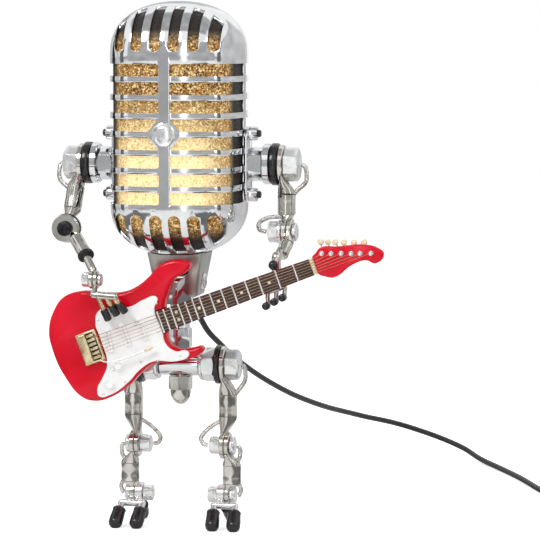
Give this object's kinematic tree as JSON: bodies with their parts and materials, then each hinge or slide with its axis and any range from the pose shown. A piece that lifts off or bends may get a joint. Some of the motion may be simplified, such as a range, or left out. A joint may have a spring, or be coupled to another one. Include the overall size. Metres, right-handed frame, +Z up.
{
  "type": "robot shaped desk lamp",
  "caption": "Desk lamp shaped like a robot: slotted microphone head glowing from inside, jointed lug-and-bolt arms and legs, holding a small electric guitar.",
  "frame": {"origin": "on the surface it stands on, under the middle of the bounding box of the lamp without its free cord", "axes": "+Z up; the lamp faces -Y; its left arm with the guitar neck is towards +X"},
  "size_m": [0.2816, 0.2682, 0.247],
  "materials": {
    "chrome": "polished",
    "zinc": "bright zinc plated",
    "nickel": "warm nickel plated",
    "satin": "satin",
    "cloth": "gold glitter",
    "porcelain": "gloss",
    "bulb": "frosted",
    "black_steel": "blackened",
    "rubber": "smooth",
    "cord": "matte",
    "plug": "moulded",
    "red": "gloss lacquer",
    "white": "gloss",
    "gilt": "satin",
    "rosewood": "satin"
  },
  "bodies": {
    "torso": {"swivel_stem": "chrome", "union_nut": "chrome", "pelvis_tee": "chrome", "crotch_cap_nut": "zinc", "left_hip_nut": "zinc", "right_hip_nut": "zinc", "left_hip_washer": "rubber", "right_hip_washer": "rubber", "left_hip_bolt": "zinc", "right_hip_bolt": "zinc", "cord_gland": "rubber", "cord": "cord", "cord_coil": "cord", "usb_plug": "plug"},
    "head": {"head_front_grille": "chrome", "head_rear_shell": "chrome", "grille_cloth": "cloth", "emblem_disc": "chrome", "bulb_holder": "porcelain", "led_bulb": "bulb", "neck_block": "satin", "swivel_bolt": "zinc", "left_shoulder_bracket": "chrome", "right_shoulder_bracket": "chrome", "left_shoulder_washer": "rubber", "right_shoulder_washer": "rubber", "left_shoulder_bolt": "zinc", "right_shoulder_bolt": "zinc"},
    "fret_upper_arm": {"left_upper_arm": "nickel", "left_elbow_bolt": "zinc"},
    "fret_forearm_and_guitar": {"left_forearm_and_hand": "nickel", "guitar_body": "red", "guitar_pickguard": "white", "guitar_bridge": "gilt", "guitar_neck": "red", "guitar_fretboard": "rosewood"},
    "strum_upper_arm": {"right_upper_arm": "nickel", "right_elbow_bolt": "black_steel"},
    "strum_forearm": {"right_forearm": "nickel", "right_wrist_bolt": "zinc"},
    "strum_hand": {"right_strumming_hand": "nickel"},
    "left_thigh": {"left_thigh_link": "nickel", "left_knee_bolt": "zinc"},
    "left_shin": {"left_shin_link": "nickel", "left_ankle_bolt": "zinc"},
    "left_foot": {"left_foot_frame": "zinc", "left_toe_cap_inner": "rubber", "left_toe_cap_outer": "rubber", "left_heel_cap": "rubber"},
    "right_thigh": {"right_thigh_link": "nickel", "right_knee_bolt": "zinc"},
    "right_shin": {"right_shin_link": "nickel", "right_ankle_bolt": "zinc"},
    "right_foot": {"right_foot_frame": "zinc", "right_toe_cap_inner": "rubber", "right_toe_cap_outer": "rubber", "right_heel_cap": "rubber"}
  },
  "joints": [
    {"name": "head_tilt", "type": "hinge", "parent": "torso", "child": "head", "pos_m": [-0.02006, 0.00233, 0.116], "axis": [1, 0, 0], "range_deg": [-12, 2]},
    {"name": "strum_shoulder", "type": "hinge", "parent": "head", "child": "strum_upper_arm", "pos_m": [-0.06846, 0.00633, 0.171], "axis": [1, 0, 0], "range_deg": [-35, 2]},
    {"name": "fret_shoulder", "type": "hinge", "parent": "head", "child": "fret_upper_arm", "pos_m": [0.02834, 0.00633, 0.171], "axis": [1, 0, 0], "range_deg": [-35, 2]},
    {"name": "strum_elbow", "type": "hinge", "parent": "strum_upper_arm", "child": "strum_forearm", "pos_m": [-0.07326, -0.00367, 0.1406], "axis": [0, 1, 0], "range_deg": [-20, 4]},
    {"name": "strum_wrist", "type": "hinge", "parent": "strum_forearm", "child": "strum_hand", "pos_m": [-0.05456, -0.02627, 0.1184], "axis": [1, 0, 0], "range_deg": [-25, 0]},
    {"name": "fret_elbow", "type": "hinge", "parent": "fret_upper_arm", "child": "fret_forearm_and_guitar", "pos_m": [0.03214, 0.00233, 0.1396], "axis": [1, 0, 0], "range_deg": [0, 2]},
    {"name": "left_hip", "type": "hinge", "parent": "torso", "child": "left_thigh", "pos_m": [0.00134, 0.00233, 0.0767], "axis": [1, 0, 0], "range_deg": [-15, 20]},
    {"name": "left_knee", "type": "hinge", "parent": "left_thigh", "child": "left_shin", "pos_m": [0.00194, 0.00233, 0.0383], "axis": [1, 0, 0], "range_deg": [0, 45]},
    {"name": "left_ankle", "type": "hinge", "parent": "left_shin", "child": "left_foot", "pos_m": [0.00194, 0.00233, 0.0148], "axis": [1, 0, 0], "range_deg": [-20, 20]},
    {"name": "right_hip", "type": "hinge", "parent": "torso", "child": "right_thigh", "pos_m": [-0.04146, 0.00233, 0.0767], "axis": [1, 0, 0], "range_deg": [-15, 20]},
    {"name": "right_knee", "type": "hinge", "parent": "right_thigh", "child": "right_shin", "pos_m": [-0.04206, 0.00233, 0.0383], "axis": [1, 0, 0], "range_deg": [0, 45]},
    {"name": "right_ankle", "type": "hinge", "parent": "right_shin", "child": "right_foot", "pos_m": [-0.04206, 0.00233, 0.0148], "axis": [1, 0, 0], "range_deg": [-20, 20]}
  ],
  "couplings": [
    {"joint": "fret_shoulder", "follows": "strum_shoulder", "ratio": 1}
  ]
}
